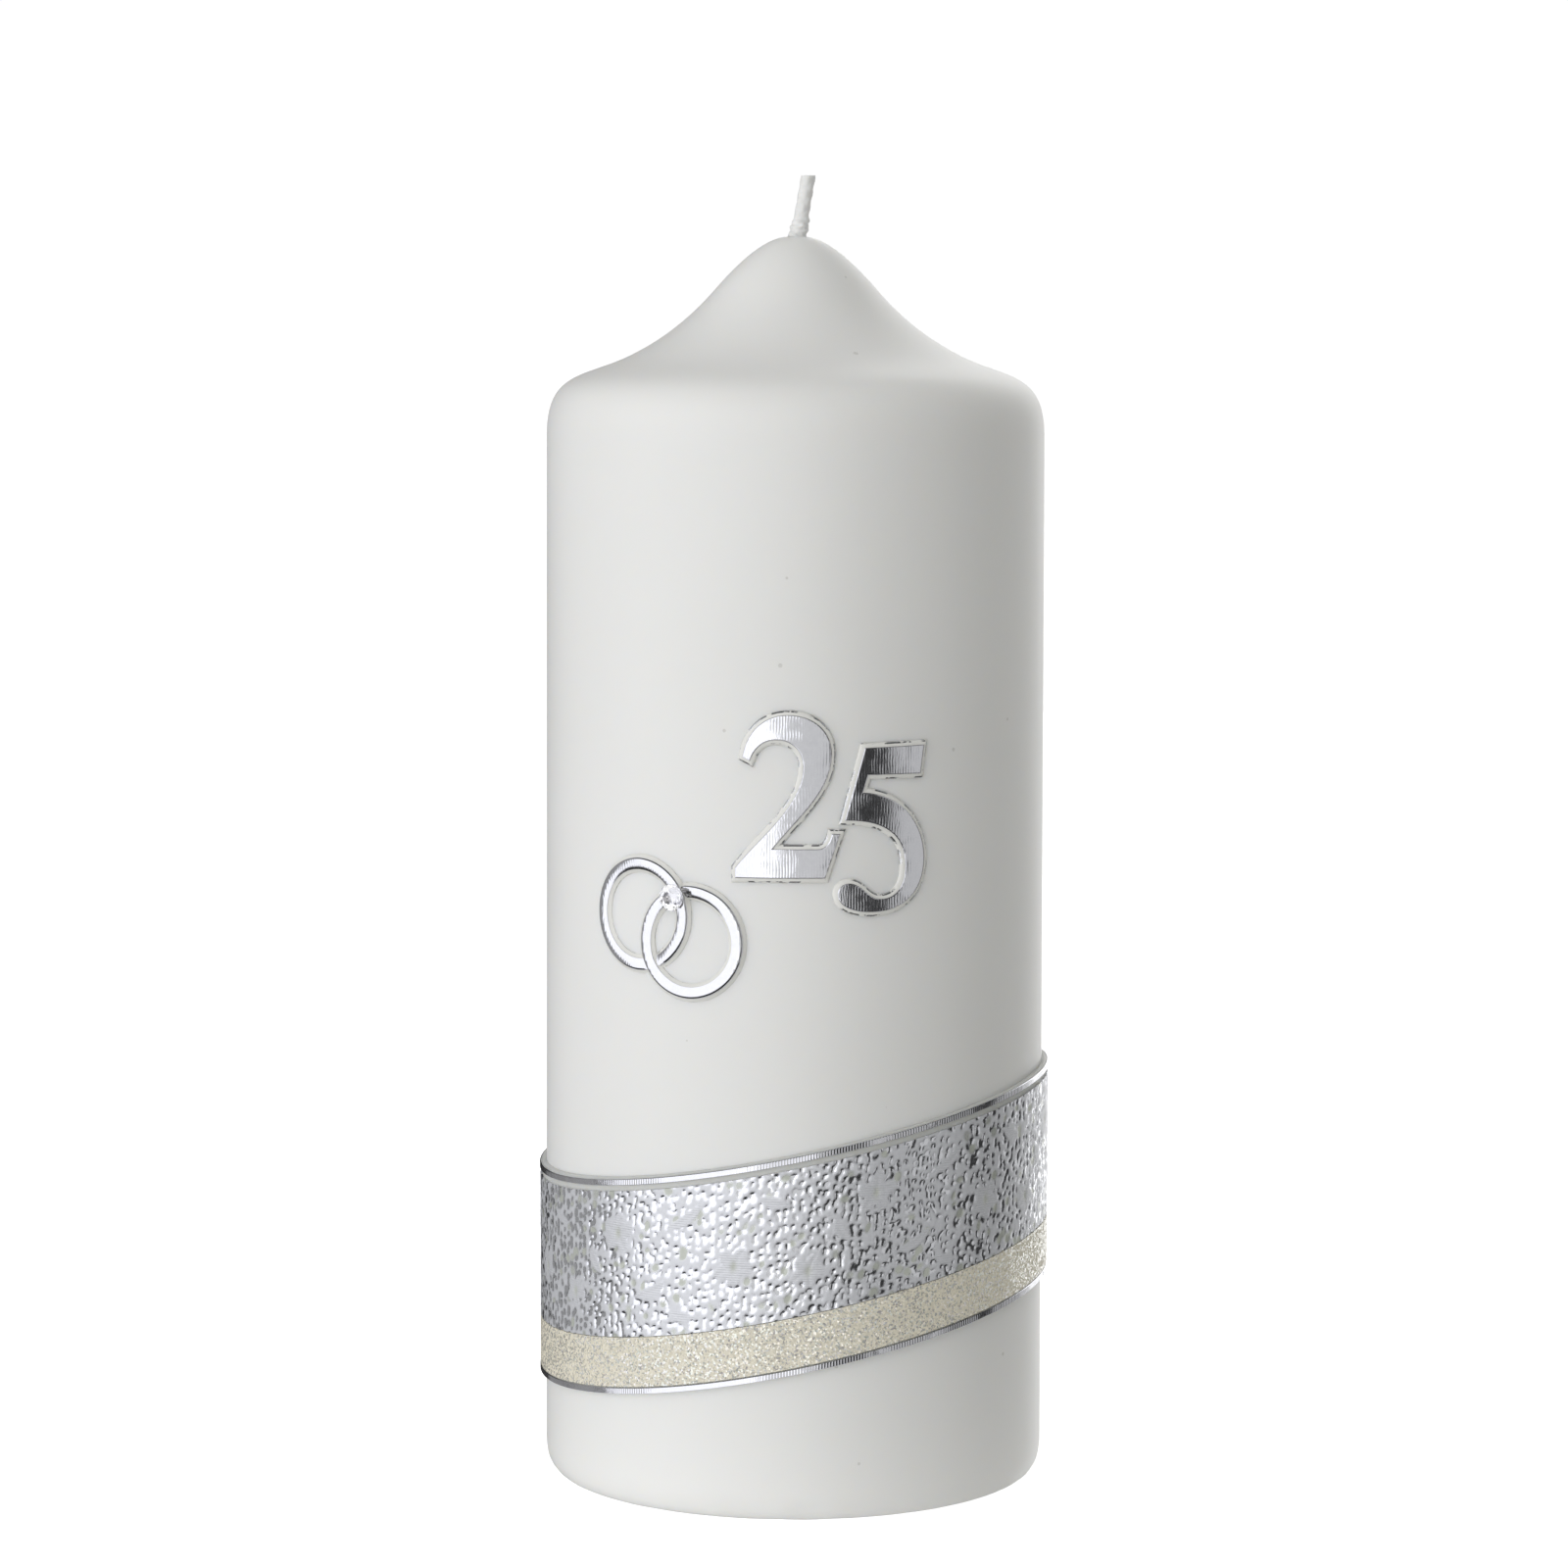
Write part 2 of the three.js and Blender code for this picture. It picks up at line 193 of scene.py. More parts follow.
class Number:
    """A number in a shader. Sums and products of numbers add their Math nodes."""

    def __init__(self, tree, socket):
        self.tree = tree
        self.socket = socket

    def maths(self, operation, *values):
        return add_node(self.tree, "ShaderNodeMath", {"operation": operation}, dict(enumerate(values)))

    def __add__(self, other):
        return self.maths("ADD", self, other)

    def __sub__(self, other):
        return self.maths("SUBTRACT", self, other)

    def __mul__(self, other):
        return self.maths("MULTIPLY", self, other)

    def __truediv__(self, other):
        return self.maths("DIVIDE", self, other)

    def __radd__(self, other):
        return self.maths("ADD", other, self)

    def __rsub__(self, other):
        return self.maths("SUBTRACT", other, self)

    def __rmul__(self, other):
        return self.maths("MULTIPLY", other, self)

    def __gt__(self, other):
        return self.maths("GREATER_THAN", self, other)

    def __lt__(self, other):
        return self.maths("LESS_THAN", self, other)

    def sine(self):
        return self.maths("SINE", self)

    def clamped(self):
        return self.maths("MINIMUM", self.maths("MAXIMUM", self, 0.0), 1.0)


def add_node(tree, kind, settings=None, inputs=None, output=0):
    """A node with its settings made first, then the values or links of its sockets."""
    node = tree.nodes.new(kind)
    for name, value in (settings or {}).items():
        if name == "stops":
            paint_ramp(node.color_ramp, value)
        else:
            setattr(node, name, value)
    for name, value in (inputs or {}).items():
        if isinstance(value, Number):
            tree.links.new(value.socket, node.inputs[name])
        else:
            node.inputs[name].default_value = value
    return Number(tree, node.outputs[output])


def paint_ramp(ramp, stops):
    """Gives a colour ramp its stops, each a position and a colour."""
    while len(ramp.elements) < len(stops):
        ramp.elements.new(1.0)
    for element, (position, colour) in zip(ramp.elements, stops):
        element.position = position
        element.color = (*colour, 1)


def mix_colour(tree, factor, first, second):
    return add_node(tree, "ShaderNodeMix", {"data_type": "RGBA"}, {0: factor, 6: first, 7: second}, 2)


def noise_at(tree, place, scale, detail=2.0, roughness=0.5):
    return add_node(tree, "ShaderNodeTexNoise", {}, {
        "Vector": place, "Scale": scale, "Detail": detail, "Roughness": roughness})


def bumped(tree, height, strength, distance, normal=None):
    inputs = {"Height": height, "Strength": strength, "Distance": distance}
    if normal is not None:
        inputs["Normal"] = normal
    return add_node(tree, "ShaderNodeBump", {}, inputs)


def start_material(name):
    """A new material with its shader, and the place on the piece that its patterns read."""
    material = bpy.data.materials.new(name)
    material.use_nodes = True
    tree = material.node_tree
    shader = tree.nodes["Principled BSDF"]
    place = add_node(tree, "ShaderNodeTexCoord", {}, {}, "Object")
    return material, tree, shader, place


def finish_material(tree, shader, constants, links):
    """Sets the shader's even values, and links the ones that change over the surface."""
    for name, value in constants.items():
        shader.inputs[name].default_value = value
    for name, value in links.items():
        tree.links.new(value.socket, shader.inputs[name])


def rgb(red, green, blue):
    return (red, green, blue, 1.0)


def around_the_side(tree, place):
    """How far round the side a point lies from the front, in metres along the surface."""
    x = add_node(tree, "ShaderNodeSeparateXYZ", {}, {0: place}, 0)
    y = add_node(tree, "ShaderNodeSeparateXYZ", {}, {0: place}, 1)
    return x.maths("ARCTAN2", x, y * -1.0) * ORNAMENT_RADIUS


# Materials


def dipped_wax():
    """The white outer coat: silky, with faint runs from the dipping and a few dark specks."""
    material, tree, shader, place = start_material("dipped_white_wax")
    cloud = noise_at(tree, place, 22.0, 3.0)
    colour = mix_colour(tree, cloud, rgb(0.80, 0.80, 0.765), rgb(0.845, 0.845, 0.815))
    cells = add_node(tree, "ShaderNodeTexVoronoi", {}, {"Vector": place, "Scale": 140.0, "Randomness": 1.0})
    specks = cells < noise_at(tree, place, 31.0, 0.0) * 0.10 - 0.023
    colour = mix_colour(tree, specks * 0.35, colour, rgb(0.42, 0.41, 0.36))
    runs = add_node(tree, "ShaderNodeVectorMath", {"operation": "MULTIPLY"}, {0: place, 1: (1, 1, 0.25)})
    flow = noise_at(tree, runs, 90.0, 2.0)
    skin = noise_at(tree, place, 900.0, 3.0, 0.6)
    height = flow * 0.5 + skin * 0.035 - specks * 0.3
    finish_material(tree, shader, {
        "IOR": 1.44, "Subsurface Weight": 0.35,
        "Subsurface Radius": (1.0, 0.85, 0.65), "Subsurface Scale": 3.0 * MM,
    }, {
        "Base Color": colour,
        "Roughness": cloud * 0.12 + 0.38,
        "Normal": bumped(tree, height, 0.35, 0.15 * MM),
    })
    return material


def pressed_wax(name, light, dark):
    """Wax under the coat and in the band: matt, with a fine grain, in the tones it is given. The band's and
    the trims' tones are darker, as painted shade.
    """
    material, tree, shader, place = start_material(name)
    cloud = noise_at(tree, place, 60.0, 3.0)
    grain = noise_at(tree, place, 1800.0, 2.0, 0.6)
    finish_material(tree, shader, {
        "IOR": 1.44, "Subsurface Weight": 0.4,
        "Subsurface Radius": (1.0, 0.85, 0.65), "Subsurface Scale": 1.5 * MM,
    }, {
        "Base Color": mix_colour(tree, cloud, dark, light),
        "Roughness": cloud * 0.15 + 0.38,
        "Normal": bumped(tree, grain, 0.25, 0.05 * MM),
    })
    return material


def cut_wax():
    """Wax of the cut ornaments, with slivers of foil left along the cut."""
    material, tree, shader, place = start_material("cut_ornament_wax")
    cut = add_node(tree, "ShaderNodeAttribute", {"attribute_name": "cut"}, {}, "Fac")
    torn = noise_at(tree, place, 640.0, 3.0, 0.65)
    patches = noise_at(tree, place, 210.0, 1.0)
    sliver = ((cut - 0.35) * 6.0).clamped() * ((torn + patches * 0.55 - 0.76) * 14.0).clamped()
    crumbs = noise_at(tree, place, 2600.0, 2.0, 0.6)
    finish_material(tree, shader, {"IOR": 1.44}, {
        "Base Color": mix_colour(
            tree, sliver, rgb(0.80, 0.795, 0.745), mix_colour(
                tree, crumbs, rgb(0.32, 0.34, 0.33), rgb(0.85, 0.85, 0.87))),
        "Metallic": sliver * 0.9,
        "Roughness": 0.40 - sliver * 0.2,
        "Normal": bumped(tree, crumbs, 0.4, 0.06 * MM),
    })
    return material


def silver_foil():
    """Bright foil, rolled with fine ribs that run up the candle."""
    material, tree, shader, place = start_material("silver_foil")
    along = around_the_side(tree, place)
    wander = noise_at(tree, place, 330.0, 2.0) * 0.0009
    worn = noise_at(tree, place, 900.0, 1.0)
    ribs = ((along + wander) * (2 * math.pi / RIB_PITCH)).sine()
    cockle = noise_at(tree, place, 420.0, 2.0)
    rub = noise_at(tree, place, 1500.0, 3.0, 0.7)
    finish_material(tree, shader, {"Metallic": 1.0}, {
        "Base Color": mix_colour(tree, rub, rgb(0.66, 0.67, 0.70), rgb(0.77, 0.77, 0.80)),
        "Roughness": rub * 0.10 + 0.10,
        "Normal": bumped(tree, ribs * worn * 0.0055 + cockle * 0.02, 1.0, 1.0 * MM),
    })
    return material


def relief_foil():
    """Embossed foil: satin on the flats, bright in the pits, with the wax showing in places."""
    material, tree, shader, place = start_material("embossed_silver_foil")
    worked = add_node(tree, "ShaderNodeAttribute", {"attribute_name": "worked"}, {}, "Color")
    lined, bare, pitted = (add_node(tree, "ShaderNodeSeparateColor", {}, {0: worked}, i) for i in range(3))
    grain = noise_at(tree, place, 2600.0, 3.0, 0.7)
    z = add_node(tree, "ShaderNodeSeparateXYZ", {}, {0: place}, 2)
    line_pitch = 0.33 * MM
    lines = (z * (2 * math.pi / line_pitch)).sine()
    satin = mix_colour(tree, grain, rgb(0.63, 0.64, 0.66), rgb(0.76, 0.77, 0.79))
    silver = mix_colour(tree, pitted, satin, rgb(0.76, 0.77, 0.80))
    finish_material(tree, shader, {}, {
        "Base Color": mix_colour(tree, bare, silver, rgb(0.50, 0.52, 0.46)),
        "Metallic": (0.42 + pitted * 1.2).clamped() * (1.0 - bare * 0.8),
        "Roughness": 0.46 - pitted * 0.36 + grain * 0.05,
        "Normal": bumped(tree, grain * 0.012 + lines * lined * 0.010, 1.0, 1.0 * MM),
    })
    return material


def cream_glitter():
    """Cream lacquer full of small flakes that each face their own way."""
    material, tree, shader, place = start_material("cream_glitter")
    flakes = add_node(tree, "ShaderNodeTexVoronoi", {}, {"Vector": place, "Scale": 4200.0}, "Color")
    tone, pick = (add_node(tree, "ShaderNodeSeparateColor", {}, {0: flakes}, i) for i in range(2))
    hues = add_node(tree, "ShaderNodeValToRGB", {"stops": [
        (0.0, (0.98, 0.90, 0.84)), (0.25, (0.98, 0.96, 0.84)), (0.5, (0.88, 0.97, 0.90)),
        (0.75, (0.86, 0.92, 0.98)), (1.0, (0.96, 0.90, 0.96))]}, {"Fac": tone})
    shiny = pick > 0.62
    ground = mix_colour(tree, tone, rgb(0.71, 0.66, 0.50), rgb(0.81, 0.76, 0.61))
    tilt = add_node(tree, "ShaderNodeVectorMath", {"operation": "MULTIPLY_ADD"}, {
        0: flakes, 1: (0.76, 0.76, 0.76), 2: (-0.38, -0.38, -0.38)})
    facing = add_node(tree, "ShaderNodeNewGeometry", {}, {}, "Normal")
    tilted = add_node(tree, "ShaderNodeVectorMath", {"operation": "ADD"}, {0: facing, 1: tilt})
    finish_material(tree, shader, {"IOR": 2.2}, {
        "Base Color": mix_colour(tree, shiny * 0.6, ground, hues),
        "Metallic": shiny * 0.35,
        "Roughness": 0.55 - shiny * 0.33,
        "Normal": add_node(tree, "ShaderNodeVectorMath", {"operation": "NORMALIZE"}, {0: tilted}),
    })
    return material


def waxed_cotton():
    """Cotton soaked in wax, lighter and rougher in patches."""
    material, tree, shader, place = start_material("waxed_cotton")
    fibres = add_node(tree, "ShaderNodeVectorMath", {"operation": "MULTIPLY"}, {0: place, 1: (1, 1, 0.2)})
    fuzz = noise_at(tree, fibres, 3000.0, 3.0, 0.6)
    soaked = noise_at(tree, place, 500.0, 2.0)
    finish_material(tree, shader, {
        "Subsurface Weight": 0.3, "Subsurface Radius": (1.0, 0.9, 0.8), "Subsurface Scale": 0.5 * MM,
    }, {
        "Base Color": mix_colour(tree, soaked, rgb(0.74, 0.74, 0.71), rgb(0.86, 0.86, 0.84)),
        "Roughness": soaked * 0.3 + 0.4,
        "Normal": bumped(tree, fuzz, 0.25, 0.05 * MM),
    })
    return material


def cut_glass():
    """The clear stone."""
    material, tree, shader, place = start_material("cut_glass")
    polish = noise_at(tree, place, 900.0, 2.0)
    finish_material(tree, shader, {
        "Transmission Weight": 1.0, "IOR": 1.6, "Base Color": rgb(0.80, 0.80, 0.82),
    }, {"Roughness": polish * 0.02})
    return material


def stone_mirror():
    """The mirror behind the stone, painted light and dark in patches: painted reflections and shade that
    make the stone sparkle.
    """
    material, tree, shader, place = start_material("stone_mirror_foil")
    haze = noise_at(tree, place, 1200.0, 2.0)
    painted_sparkle_cells = add_node(tree, "ShaderNodeTexVoronoi", {}, {"Vector": place, "Scale": 1500.0}, "Color")
    painted_sparkle = add_node(tree, "ShaderNodeSeparateColor", {}, {0: painted_sparkle_cells}, 0)
    finish_material(tree, shader, {"Metallic": 1.0}, {
        # Painted sparkle: light and dark patches in the mirror's colour stand in for the facets'
        # reflections and shade.
        "Base Color": mix_colour(tree, painted_sparkle * 1.6 - 0.4, rgb(0.10, 0.10, 0.11), rgb(0.80, 0.78, 0.76)),
        "Roughness": haze * 0.06 + 0.02,
    })
    return material


# Making pieces


def make_piece(name, bm, material, nodes, crease=40):
    """Turns a bmesh into a finished piece that stands for its nodes.

    Edges sharper than the crease, in degrees, stay hard. A crease of 0 leaves every face flat.
    """
    for face in bm.faces:
        face.smooth = crease > 0
    for edge in bm.edges:
        edge.smooth = not edge.is_manifold or edge.calc_face_angle() < math.radians(crease)
    mesh = bpy.data.meshes.new(name)
    bm.to_mesh(mesh)
    bm.free()
    mesh.materials.append(material)
    piece = bpy.data.objects.new(name, mesh)
    bpy.context.scene.collection.objects.link(piece)
    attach(piece, "root")
    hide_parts(*nodes)
    return piece


def bezier(start, first, second, end, steps):
    """Points on a Bezier curve after its start."""
    points = []
    for i in range(1, steps + 1):
        t = i / steps
        points.append(tuple(
            (1 - t) ** 3 * a + 3 * t * (1 - t) ** 2 * b + 3 * t * t * (1 - t) * c + t ** 3 * d
            for a, b, c, d in zip(start, first, second, end)))
    return points


def spun(profile, steps, closed=False, gap=0.0):
    """A profile of (radius, height) points spun about the axis, from the back and round.

    A gap, in radians, leaves the spun shape open at the back, with its ends filled.
    """
    bm = bmesh.new()
    verts = [bm.verts.new((0, r, z)) for r, z in profile]
    edges = [bm.edges.new(pair) for pair in zip(verts, verts[1:])]
    if closed:
        edges.append(bm.edges.new((verts[-1], verts[0])))
    bmesh.ops.rotate(bm, verts=verts, matrix=Matrix.Rotation(gap / 2, 3, "Z"))
    bmesh.ops.spin(
        bm, geom=verts + edges, axis=(0, 0, 1), cent=(0, 0, 0), angle=2 * math.pi - gap,
        steps=steps, use_merge=gap == 0)
    bmesh.ops.remove_doubles(bm, verts=bm.verts, dist=0.001 * MM)
    bmesh.ops.holes_fill(bm, edges=[e for e in bm.edges if e.is_boundary], sides=0)
    bmesh.ops.recalc_face_normals(bm, faces=bm.faces)
    return bm


def bend_round_side(bm, azimuth, z, radius):
    """Lays a flat shape, x across, y up and z outwards, on the round side of the candle."""
    for vert in bm.verts:
        across, up, out = vert.co
        angle = azimuth + across / ORNAMENT_RADIUS
        reach = radius + out
        vert.co = (reach * math.sin(angle), -reach * math.cos(angle), z + up)


def slice_across(bm, low, high, pitch):
    """Cuts a flat shape into upright slices, so that it can bend round the side."""
    for i in range(1, math.ceil((high - low) / pitch)):
        bmesh.ops.bisect_plane(
            bm, geom=bm.verts[:] + bm.edges[:] + bm.faces[:],
            plane_co=(low + i * pitch, 0, 0), plane_no=(1, 0, 0))


def coat_radius(z):
    """The side swells slightly from the shoulder to the foot."""
    return SHOULDER_RADIUS + (FOOT_RADIUS - SHOULDER_RADIUS) * (1 - z / WAX_HEIGHT)


# Candle body and wick


def bell_outline(body_radius, apex_z):
    """The bell top's outline from the wick down to the straight side."""
    k = body_radius / 35
    top = (1.0 * MM, apex_z)
    crown = (11.3 * k, apex_z - 7.3 * k)
    shoulder = (27.2 * k, apex_z - 18.2 * k)
    side = (35 * k, apex_z - 27.5 * k)
    points = [top]
    points += bezier(top, (4.2 * k, apex_z), (8.0 * k, apex_z - 3.5 * k), crown, 14)
    points += bezier(
        crown, (15.2 * k, apex_z - 11.8 * k), (20.4 * k, apex_z - 16.0 * k), shoulder, 14)
    points += bezier(
        shoulder, (31.8 * k, apex_z - 19.8 * k), (34.9 * k, apex_z - 20.7 * k), side, 16)
    return points


def dipped_coat(material):
    """The coat with its bell top, its rounded foot and the lowest part of its hollow."""
    foot_start, foot_edge, rows = 4.5 * MM, 33.2 * MM, 60
    outline = bell_outline(SHOULDER_RADIUS, WAX_HEIGHT)
    top_z = outline[-1][1]
    for i in range(1, rows + 1):
        t = i / rows
        outline.append((
            SHOULDER_RADIUS + (FOOT_RADIUS - SHOULDER_RADIUS) * t, top_z + (foot_start - top_z) * t))
    outline += bezier(
        (FOOT_RADIUS, foot_start), (FOOT_RADIUS, 2.0 * MM), (34.6 * MM, 0.35 * MM), (foot_edge, 0), 14)
    outline += [(FOOT_INNER, 0), (CORE_RADIUS, 0), (CORE_RADIUS, HOLLOW_TOP), (WICK_BORE, HOLLOW_TOP)]
    bm = spun(outline, 240, closed=True)
    for vert in bm.verts:
        roughen_foot(vert)
    return make_piece("dipped_wax_coat_visual", bm, material, ["dipped_wax_coat"])


def roughen_foot(vert):
    """The coat was trimmed while soft, so its lower edge is slightly uneven."""
    height, reach = vert.co.z, vert.co.xy.length
    edge_zone, inner = 3.2 * MM, FOOT_INNER - 0.1 * MM
    if height > edge_zone or reach < inner:
        return
    fade = 1 - height / edge_zone
    place = vert.co.xy.normalized() * FOOT_RADIUS
    lumps = noise.noise(Vector((place.x, place.y, 0)) / (3.1 * MM))
    ragged = noise.noise(Vector((place.x, place.y, 3)) / (1.1 * MM))
    shift = fade * (0.22 * MM * lumps + 0.12 * MM * ragged)
    vert.co.xy *= 1 + shift / reach
    vert.co.z = max(0, height + fade * 0.5 * shift)


def pressed_core(material):
    """The foot of the core, which shows in the candle's base."""
    profile = [(0, 0), (CORE_RADIUS, 0), (CORE_RADIUS, CORE_TOP), (0, CORE_TOP)]
    bm = spun(profile, 120)
    return make_piece("wax_core_visual", bm, material, ["wax_core"])


def wick(material):
    """A waxed braid: two sets of strands wind opposite ways, under lumps of wax near the candle."""
    foot_z, sides, rows = WAX_HEIGHT - 2.2 * MM, 48, 110
    bm = bmesh.new()
    ring = bmesh.ops.create_circle(bm, cap_ends=True, radius=WICK_RADIUS, segments=sides)["verts"]
    bmesh.ops.translate(bm, verts=ring, vec=(0, 0, foot_z))
    bm.faces.ensure_lookup_table()
    face = bm.faces[0]
    for i in range(rows):
        new = bmesh.ops.extrude_discrete_faces(bm, faces=[face])["faces"][0]
        bmesh.ops.translate(bm, verts=new.verts, vec=(0, 0, (WICK_TOP - foot_z) / rows))
        face = new
    bmesh.ops.holes_fill(bm, edges=[e for e in bm.edges if e.is_boundary], sides=0)
    bmesh.ops.recalc_face_normals(bm, faces=bm.faces)
    for vert in bm.verts:
        shape_wick(vert)
    return make_piece("wick_visual", bm, material, ["wick"], crease=60)


def shape_wick(vert):
    """Gives a point of the wick its strands, its lumps of wax, its flared foot and its lean."""
    twist, lumps_end, lumps_fade, lump_size = 0.62 * MM, 2.4 * MM, 0.35 * MM, 0.7 * MM
    flare_depth, flare_fade, bend_depth = 0.9 * MM, 0.5 * MM, 1.4 * MM
    angle = math.atan2(vert.co.y, vert.co.x)
    up = vert.co.z - WAX_HEIGHT
    clothed = 1 / (1 + math.exp((up - lumps_end) / lumps_fade))
    strand = abs(math.cos(2 * angle + up / twist)) * abs(math.cos(2 * angle - up / twist))
    lumps = noise.noise(Vector((math.cos(angle), math.sin(angle), up / lump_size)) * 1.3)
    swell = 1 + 0.08 * (1 - clothed) * (strand - 0.5) + clothed * (0.24 + 0.30 * lumps)
    flare = 0.35 * math.exp(-max(0, up + flare_depth) / flare_fade)
    vert.co.xy *= swell + flare
    vert.co.x += max(0, up + bend_depth) * math.tan(WICK_LEAN)


# Ornaments


def cut_outline(name, steps, bevel, bevel_steps, depth):
    """A flat outline filled, thickened and given a sloping edge, as a bmesh.

    Each step is a corner (x, y) or a curve (x1, y1, x2, y2, x, y), in millimetres.
    """
    curve = bpy.data.curves.new(name, "CURVE")
    curve.dimensions = "2D"
    curve.fill_mode = "BOTH"
    curve.resolution_u = 14
    curve.extrude = depth / 2
    curve.bevel_depth = bevel
    curve.bevel_resolution = bevel_steps
    spline = curve.splines.new("BEZIER")
    spline.bezier_points.add(len(steps) - 1)
    spline.use_cyclic_u = True
    for point, step in zip(spline.bezier_points, steps):
        point.handle_left_type = point.handle_right_type = "FREE"
        point.co = Vector((*step[-2:], 0)) * MM
    for i, step in enumerate(steps):
        here, before = spline.bezier_points[i], spline.bezier_points[i - 1]
        if len(step) == 6:
            before.handle_right = Vector((*step[:2], 0)) * MM
            here.handle_left = Vector((*step[2:4], 0)) * MM
        else:
            before.handle_right = before.co.lerp(here.co, 1 / 3)
            here.handle_left = here.co.lerp(before.co, 1 / 3)
    holder = bpy.data.objects.new(name, curve)
    bpy.context.scene.collection.objects.link(holder)
    shape = holder.evaluated_get(bpy.context.evaluated_depsgraph_get())
    mesh = bpy.data.meshes.new_from_object(shape)
    bm = bmesh.new()
    bm.from_mesh(mesh)
    bpy.data.objects.remove(holder)
    bpy.data.curves.remove(curve)
    bpy.data.meshes.remove(mesh)
    bmesh.ops.remove_doubles(bm, verts=bm.verts, dist=0.002 * MM)
    bmesh.ops.recalc_face_normals(bm, faces=bm.faces)
    return bm


# Outlines of the numerals, in the steps that cut_outline reads
TWO = [
    (-7.1, 1.2), (-7.1, 0), (5.0, 0), (6.95, 5.75), (6.1, 5.75), (5.8, 4.5, 5.1, 3.7, 4.0, 3.7),
    (-2.4, 3.7), (1.2, 8.2, 5.8, 11.6, 5.8, 16.6), (5.8, 19.8, 3.4, 21.8, 0, 21.8),
    (-3.2, 21.8, -5.5, 19.7, -6.1, 16.3), (-5.3, 15.9), (-4.7, 17.6, -3.4, 18.7, -1.6, 18.7),
    (0.6, 18.7, 2.2, 17.2, 2.2, 14.9), (2.2, 9.6, -4.2, 5.0, -7.1, 1.2),
]
FIVE = [
    (-2.3, 22), (-5, 12.5), (0.6, 12.5, 3.7, 10.2, 3.7, 6), (3.7, 3.3, 2.4, 1.5, 0, 1.5),
    (-2, 1.5, -2.6, 3.5, -4.3, 3.7), (-5.2, 3.8, -6, 3.3, -6, 2.4), (-6, 0.9, -4, 0, -1.2, 0),
    (3.4, 0, 6.3, 2.6, 6.3, 7), (6.3, 12, 2.4, 15.8, -2.8, 16), (-2, 18.6), (5.7, 18.6), (6.2, 22.2),
]


def numeral(name, steps, place, wax, foil):
    """A low wax numeral with a rounded rim, and the ribbed silver foil on its flat face."""
    azimuth, baseline = place
    body, face = numeral_body(name, steps), numeral_face(name, steps)
    for bm in (body, face):
        bend_round_side(bm, azimuth, baseline, coat_radius(baseline))
        bmesh.ops.recalc_face_normals(bm, faces=bm.faces)
    make_piece(f"{name}_wax_visual", body, wax, [f"{name}_wax"])
    make_piece(f"{name}_foil_visual", face, foil, [f"{name}_foil"], crease=0)


def numeral_body(name, steps):
    """The wax of a numeral: flat behind, with its sloping rim marked as cut."""
    rim, back = 0.78 * MM, -0.05 * MM
    body = cut_outline(name, steps, rim, 4, 0.2 * MM)
    bmesh.ops.bisect_plane(
        body, geom=body.verts[:] + body.edges[:] + body.faces[:], plane_co=(0, 0, back),
        plane_no=(0, 0, 1), clear_inner=True)
    bmesh.ops.holes_fill(body, edges=[e for e in body.edges if e.is_boundary], sides=0)
    top = max(v.co.z for v in body.verts)
    cut = body.verts.layers.float.new("cut")
    for vert in body.verts:
        level = vert.co.z / top
        vert[cut] = min(1, max(0, (0.86 - level) / 0.2))
        vert.co.z = NUMERAL_RISE * level
    slice_across(body, -CUT_REACH, CUT_REACH, CUT_PITCH)
    return body


def numeral_face(name, steps):
    """The foil of a numeral, cut into slices, so that it can be ribbed and bent."""
    face = cut_outline(name, steps, 0.14 * MM, 2, 0.02 * MM)
    for vert in face.verts:
        vert.co.z += NUMERAL_RISE + 0.02 * MM
    for shift in (0, RIB_CREST * RIB_PITCH):
        slice_across(face, -CUT_REACH + shift, CUT_REACH, RIB_PITCH)
    slice_up(face, 0, CUT_HEIGHT, CUT_PITCH)
    for vert in face.verts:
        cockle = 0.008 * MM * noise.noise(vert.co / (1.7 * MM))
        vert.co.z += rib_height(vert.co.x + CUT_REACH) + cockle
    return face


def slice_up(bm, low, high, pitch):
    """Cuts a flat shape into level slices."""
    for i in range(1, math.ceil((high - low) / pitch)):
        bmesh.ops.bisect_plane(
            bm, geom=bm.verts[:] + bm.edges[:] + bm.faces[:],
            plane_co=(0, low + i * pitch, 0), plane_no=(0, 1, 0))


def rib_height(along):
    """Each rib rises steeply for a third of its pitch and falls slowly."""
    part = (along / RIB_PITCH) % 1
    size = 0.006 * MM
    return size * part / RIB_CREST if part < RIB_CREST else size * (1 - part) / (1 - RIB_CREST)


def ring_loop(profile, side):
    """A cross-section spun round one ring's centre, lifted or lowered where the rings cross."""
    bm = spun(profile, 180, closed=True)
    cx, cy = RING_CENTRES[side]
    over, under = UPPER_CROSSING, LOWER_CROSSING
    if side == "right":
        over, under = under, over
    for vert in bm.verts:
        vert.co.x += cx
        vert.co.y += cy
        vert.co.z += 0.16 * MM * nearness(vert, over) - 0.34 * MM * nearness(vert, under)
    bend_round_side(bm, RINGS_AZIMUTH, RINGS_Z, coat_radius(RINGS_Z))
    bmesh.ops.recalc_face_normals(bm, faces=bm.faces)
    return bm


def nearness(vert, crossing):
    """1 on a crossing of the rings, and fading to 0 a few millimetres away."""
    x, y = crossing
    return math.exp(-((vert.co.x - x) ** 2 + (vert.co.y - y) ** 2) / (2.2 * MM) ** 2)


